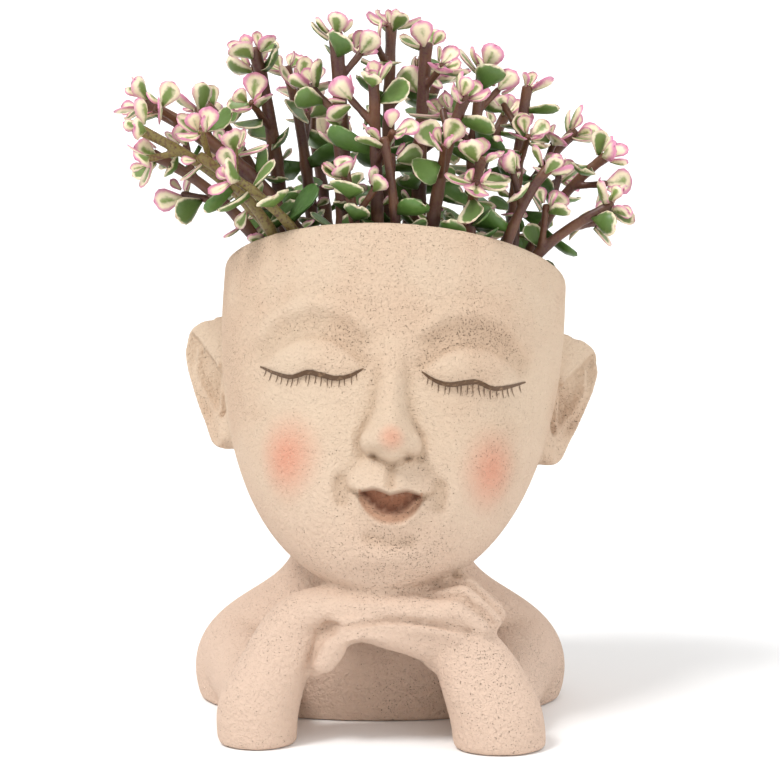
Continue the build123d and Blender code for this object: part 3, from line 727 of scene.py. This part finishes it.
def eyeMesh(side):
    draw = random.Random(eyePaint["seed"] + side)
    bm = bmesh.new()
    ends = eyeForm["line"][0][0], eyeForm["line"][-1][0]
    places = np.linspace(ends[0], ends[1], eyePaint["steps"])
    levels = curve(places, eyeForm["line"])
    for _ in range(3):
        levels[1:-1] = (levels[:-2] + 2 * levels[1:-1] + levels[2:]) / 4
    shares = np.linspace(0, 1, eyePaint["steps"])
    widths = eyePaint["thin"] + (eyePaint["thick"] - eyePaint["thin"]) * np.sin(np.pi * shares ** 0.75) ** 0.7
    shift = curve(0.0, midline)
    ribbon(bm, [(shift + side * x, level - 0.2) for x, level in zip(places, levels)], widths)
    for share in np.linspace(eyePaint["firstLash"], eyePaint["lastLash"], eyePaint["lashes"]):
        share += draw.uniform(-0.012, 0.012)
        x = np.interp(share, shares, places)
        level = np.interp(share, shares, levels) - 0.35 * np.interp(share, shares, widths) - 0.4
        length = eyePaint["lashLength"] * (0.75 + 0.45 * math.sin(math.pi * share)) * draw.uniform(0.75, 1.15)
        lean = 0.55 * (share - 0.35) + draw.uniform(-0.12, 0.12)
        route = [(shift + side * (x + lean * length * t * t), level - length * t) for t in (0.0, 0.35, 0.7, 1.0)]
        ribbon(bm, route, [eyePaint["lashWidth"] * w for w in (1.0, 1.0, 0.75, 0.3)])
    bmesh.ops.recalc_face_normals(bm, faces=bm.faces)
    mesh = bpy.data.meshes.new("eyePaint")
    bm.to_mesh(mesh)
    bm.free()
    return mesh


paintFinish = paintMaterial()
for side, name in ((-1, "lashLineRight"), (1, "lashLineLeft")):
    addPiece(name, eyeMesh(side), paintFinish)
print("eyes painted")


# Stems first: their axes place the lower leaves
stemForm = {"voxel": 0.55, "fuller": 0.15, "swell": 0.45, "jointReach": 4.2, "oliveStems": ("07", "22", "03"),
            "sliceStep": 2.0}
stemMeshes, stemAxes = {}, {}
for name in sorted(n for n in nodes if n.startswith("stem_")):
    mesh = remeshed(cadCopy(name), stemForm["voxel"])
    movePoints(mesh, relax(pointsOf(mesh), edgesOf(mesh), 3, 0.5))
    stemMeshes[name[-2:]] = mesh
stemPoints = np.concatenate([pointsOf(mesh) for mesh in stemMeshes.values()])
stemSearch = KDTree(len(stemPoints))
for i, spot in enumerate(stemPoints):
    stemSearch.insert(spot, i)
stemSearch.balance()

# Leaves: each flat leaf of the solids gets a cupped, rounded one in its place, and bare lower joints get pairs too
leafForm = {"along": 5, "across": 4, "thickness": 0.12, "cups": (0.03, 0.09, 0.15), "seed": 7, "grow": 1.12, "tilt": 0.4, "twist": 0.8,
            "outline": ((0.0, 0.09), (0.18, 0.2), (0.4, 0.37), (0.62, 0.47), (0.8, 0.44), (0.93, 0.31), (1.0, 0.13)),
            "tip": 0.05, "crowding": 1.6}
lowerLeaves = {"firstGap": 9.0, "gap": (6.5, 9.0), "length": (10.5, 15.5), "budLength": (6.0, 8.5), "budShare": 0.3,
               "lift": (0.0, 0.5), "clear": 2.2, "apart": 0.3, "leastLevel": 57.0}
rootSpot = Vector((6.5, 14.0, 140.0)) * mm
youngOf = {6.0: 1.0, 9.0: 0.95, 9.5: 0.65, 11.5: 0.25, 13.0: 0.05, 14.5: -0.1}


def leafTemplate(cup):
    bm = bmesh.new()
    bmesh.ops.create_grid(bm, x_segments=leafForm["along"], y_segments=leafForm["across"], size=1.0)
    layer = bm.verts.layers.float.new("margin")
    under = bmesh.ops.extrude_face_region(bm, geom=bm.faces[:], use_keep_orig=True)["geom"]
    lower = {v for v in under if isinstance(v, bmesh.types.BMVert)}
    for v in bm.verts:
        u, across = 1 - ((1 - v.co.x) / 2) ** leafForm["crowding"], v.co.y
        half = curve(u, leafForm["outline"])
        u = u + leafForm["tip"] * (1 - across * across) * (u > 0.9)
        rim = max(abs(across) ** 1.5, max(0.0, 2 * u - 1) ** 4)
        v[layer] = rim
        lift = cup * across * across * 0.8 + cup * 0.5 * (2 * u - 1) ** 2 - 0.5 * cup * 0.5
        v.co = Vector((u, across * half, lift))
        if v in lower:
            v.co.z -= leafForm["thickness"] * (1.0 - 0.75 * rim)
    bmesh.ops.recalc_face_normals(bm, faces=bm.faces)
    mesh = bpy.data.meshes.new("leafTemplate")
    bm.to_mesh(mesh)
    bm.free()
    return mesh


def islandsOf(bm):
    seen = set()
    for start in bm.verts:
        if start in seen:
            continue
        group, queue = [], [start]
        seen.add(start)
        while queue:
            v = queue.pop()
            group.append(v)
            for edge in v.link_edges:
                other = edge.other_vert(v)
                if other not in seen:
                    seen.add(other)
                    queue.append(other)
        yield np.array([v.co for v in group], float)


def leafFrame(corners):
    middle = corners.mean(0)
    along, across, up = np.linalg.svd(corners - middle, full_matrices=False)[2]
    reach = (corners - middle) @ along
    if reach.max() > -reach.min():
        along, reach = -along, -reach
    base = middle + along * reach.min()
    if up @ (base - np.array(rootSpot)) < 0:
        up = -up
    across = np.cross(up, along)
    return base, along, across, up, reach.max() - reach.min()


def leafMatrix(base, along, across, up, length):
    return Matrix(((along[0] * length, across[0] * length, up[0] * length, base[0]),
                   (along[1] * length, across[1] * length, up[1] * length, base[1]),
                   (along[2] * length, across[2] * length, up[2] * length, base[2]), (0, 0, 0, 1)))


def addLeaf(bm, place, young):
    count = len(bm.verts)
    bm.from_mesh(draw.choice(leafShapes))
    bm.verts.ensure_lookup_table()
    fresh = bm.verts[count:]
    tone = draw.uniform(-0.15, 0.6)
    lean = draw.uniform(-leafForm["tilt"], leafForm["tilt"])
    sway = Matrix.Rotation(lean, 4, "Y") @ Matrix.Rotation(draw.uniform(-leafForm["twist"], leafForm["twist"]), 4, "X")
    broad = Matrix.Diagonal((1.0, draw.uniform(0.85, 1.1), 1.0, 1.0))
    bmesh.ops.transform(bm, matrix=leafMatrix(*place) @ sway @ broad, verts=fresh)
    for v in fresh:
        v[bm.verts.layers.float["young"]] = young
        v[bm.verts.layers.float["tone"]] = tone


def stemSlice(co, height):
    # middle of a bare stretch of stem at a height, and the way it runs there
    low = co[np.abs(co[:, 2] - height) < stemForm["sliceStep"]]
    high = co[np.abs(co[:, 2] - height - 6) < stemForm["sliceStep"]]
    if not len(low) or not len(high):
        return None, None, None
    along = high.mean(0) - low.mean(0)
    radius = np.median(np.linalg.norm((low - low.mean(0))[:, :2], axis=1))
    return low.mean(0), along / np.linalg.norm(along), radius


def hasRoom(base, along, length):
    if toHead(base + along * length)[2] < lowerLeaves["leastLevel"]:
        return False
    for share in (0.45, 0.7, 1.0):
        if stemSearch.find(base + along * length * share)[2] < lowerLeaves["clear"]:
            return False
    middle = base + along * length / 2
    return all(np.linalg.norm(middle - other) > lowerLeaves["apart"] * (length + size) for other, size in placedLeaves)


leafFinish = leafMaterial()
leafShapes = [leafTemplate(cup) for cup in leafForm["cups"]]
draw = random.Random(leafForm["seed"])
leafBases, leafPlaces, placedLeaves = {}, {}, []
for name in sorted(n for n in nodes if n.startswith("leaves_")):
    source = cadCopy(name)
    stem = name[-2:]
    leafBases[stem], leafPlaces[stem] = [], []
    for corners in islandsOf(source):
        base, along, across, up, length = leafFrame(corners)
        young = youngOf[min(youngOf, key=lambda size: abs(size - length / mm))] + draw.uniform(-0.15, 0.2)
        grown = length * leafForm["grow"] * draw.uniform(0.85, 1.12)
        leafBases[stem].append(base / mm)
        leafPlaces[stem].append(((base, along, across, up, grown), young))
        placedLeaves.append(((base + along * grown / 2) / mm, grown / mm))
    source.free()
for stem, bases in leafBases.items():
    co = pointsOf(stemMeshes[stem])
    height = min(base[2] for base in bases) - lowerLeaves["firstGap"]
    turn = draw.uniform(0, math.pi)
    while height > co[:, 2].min() + 20:
        middle, along, radius = stemSlice(co, height)
        if middle is None or toHead(middle)[2] < lowerLeaves["leastLevel"]:
            break
        sideways = np.array(Matrix.Rotation(turn, 3, Vector(along)) @ Vector(along).orthogonal().normalized())
        bud = draw.random() < lowerLeaves["budShare"]
        length = draw.uniform(*lowerLeaves["budLength" if bud else "length"])
        for outwards in (sideways, -sideways):
            lift = draw.uniform(*lowerLeaves["lift"])
            way = outwards * math.cos(lift) + along * math.sin(lift)
            up = along * math.cos(lift) - outwards * math.sin(lift)
            base = middle + outwards * radius
            if hasRoom(base, way, length):
                place = (base * mm, way, np.cross(up, way), up, length * mm * draw.uniform(0.85, 1.1))
                leafPlaces[stem].append((place, 0.8 if bud else draw.uniform(-0.1, 0.25)))
                placedLeaves.append((base + way * length / 2, length))
                bases.append(base)
        turn += math.pi / 2 + draw.uniform(-0.3, 0.3)
        height -= draw.uniform(*lowerLeaves["gap"])
for stem, places in leafPlaces.items():
    bm = bmesh.new()
    bm.verts.layers.float.new("young")
    bm.verts.layers.float.new("tone")
    for place, young in places:
        addLeaf(bm, place, young)
    mesh = bpy.data.meshes.new("leafSprays")
    bm.to_mesh(mesh)
    bm.free()
    addPiece("leafSprays" + stem, mesh, leafFinish, ["leaves_" + stem])
for shape in leafShapes:
    bpy.data.meshes.remove(shape)
print("leaves:", len(placedLeaves))

# Stems: jointed, a little swollen where each pair of leaves sits
stemFinish = stemMaterial()
for stem, mesh in stemMeshes.items():
    co, normals = pointsOf(mesh), normalsOf(mesh)
    swell = np.zeros(len(co))
    for base in leafBases[stem]:
        away = np.linalg.norm(co - base, axis=1)
        swell = np.maximum(swell, np.exp(-(away / stemForm["jointReach"]) ** 2))
    movePoints(mesh, co + normals * (stemForm["fuller"] + stemForm["swell"] * swell)[:, None])
    addAttribute(mesh, "olive", np.full(len(co), 0.75 if stem in stemForm["oliveStems"] else 0.15))
    addPiece("juicyStem" + stem, mesh, stemFinish, ["stem_" + stem])
print("stems done")


# Soil with a crumbly top
soilForm = {"voxel": 2.0, "lump": 1.6, "lumpSize": 9.0, "crumb": 0.8, "crumbSize": 3.0}
soilMesh = remeshed(cadCopy("potting_soil"), soilForm["voxel"])
soilPoints = pointsOf(soilMesh)
soilTop = soilPoints[:, 2].max()
for i, spot in enumerate(soilPoints):
    if spot[2] > soilTop - 1.5:
        lump = noise.noise(Vector(spot) / soilForm["lumpSize"]) * soilForm["lump"]
        soilPoints[i, 2] += lump + noise.noise(Vector(spot) / soilForm["crumbSize"]) * soilForm["crumb"] - 0.6
movePoints(soilMesh, soilPoints)
addPiece("pottingSoil", soilMesh, mottledMaterial("peatSoil", srgb(46, 34, 26), srgb(82, 62, 46), 260.0, 0.95, 0.8),
         ["potting_soil"])

gravelFinish = mottledMaterial("washedGravel", srgb(120, 112, 100), srgb(176, 166, 150), 160.0, 0.8, 1.2)
rubberFinish = mottledMaterial("softRubber", srgb(34, 33, 32), srgb(46, 44, 42), 900.0, 0.6, 0.05)
screenFinish = mottledMaterial("screenPlastic", srgb(40, 44, 40), srgb(54, 58, 54), 700.0, 0.5, 0.05)
for node, finish in (("drainage_gravel", gravelFinish), ("drain_plug", rubberFinish), ("drain_screen", screenFinish)):
    nodes[node].data.materials.clear()
    nodes[node].data.materials.append(finish)
print("filling done")


# Studio: white floor, a surround that is brightest at the horizon, a soft high key light from the left and a wide, weak
# fill from the right
studio = {"floorHalf": 12.0, "floorColour": (0.94, 0.94, 0.94, 1.0), "horizon": 1.31, "overhead": 0.8,
          "keyFrom": (-0.62, -0.48, 1.25), "keyAngle": 18.0, "keyPower": 1.9,
          "fillFrom": (0.8, -0.6, 0.5), "fillAngle": 60.0, "fillPower": 0.6}
bm = bmesh.new()
bmesh.ops.create_grid(bm, x_segments=1, y_segments=1, size=studio["floorHalf"])
floorMesh = bpy.data.meshes.new("floor")
bm.to_mesh(floorMesh)
bm.free()
floor = bpy.data.objects.new("floor", floorMesh)
bpy.context.collection.objects.link(floor)
floorFinish, floorTree, floorShader = newMaterial("paleFloor")
floorShader.inputs["Base Color"].default_value = studio["floorColour"]
floorShader.inputs["Roughness"].default_value = 0.9
floorMesh.materials.append(floorFinish)

world = bpy.data.worlds.new("whiteSurround")
world.use_nodes = True
sky = world.node_tree
upwards = addNode(sky, "ShaderNodeSeparateXYZ", {0: addNode(sky, "ShaderNodeTexCoord").outputs["Generated"]}).outputs["Z"]
glow = addNode(sky, "ShaderNodeMapRange", {"Value": upwards, "From Min": 0.08, "From Max": 0.35,
                                           "To Min": studio["horizon"], "To Max": studio["overhead"]})
sky.links.new(glow.outputs["Result"], sky.nodes["Background"].inputs["Strength"])
sky.nodes["Background"].inputs["Color"].default_value = (1.0, 1.0, 1.0, 1.0)
bpy.context.scene.world = world

for name in ("key", "fill"):
    light = bpy.data.lights.new(name + "Light", "SUN")
    light.angle = math.radians(studio[name + "Angle"])
    light.energy = studio[name + "Power"]
    lamp = bpy.data.objects.new(name + "Light", light)
    lamp.rotation_euler = (-Vector(studio[name + "From"])).to_track_quat("-Z", "Y").to_euler()
    bpy.context.collection.objects.link(lamp)

# The camera stands a little above the head and looks slightly down
view = {"place": (0.004, -1.1, 0.24), "pitch": 5.9, "lens": 127.0}
lens = bpy.data.cameras.new("camera")
lens.lens = view["lens"]
lens.sensor_width = 36.0
camera = bpy.data.objects.new("camera", lens)
camera.location = view["place"]
camera.rotation_euler = (math.radians(90 - view["pitch"]), 0.0, 0.0)
bpy.context.collection.objects.link(camera)
bpy.context.scene.camera = camera
bpy.context.scene.view_settings.view_transform = "Standard"
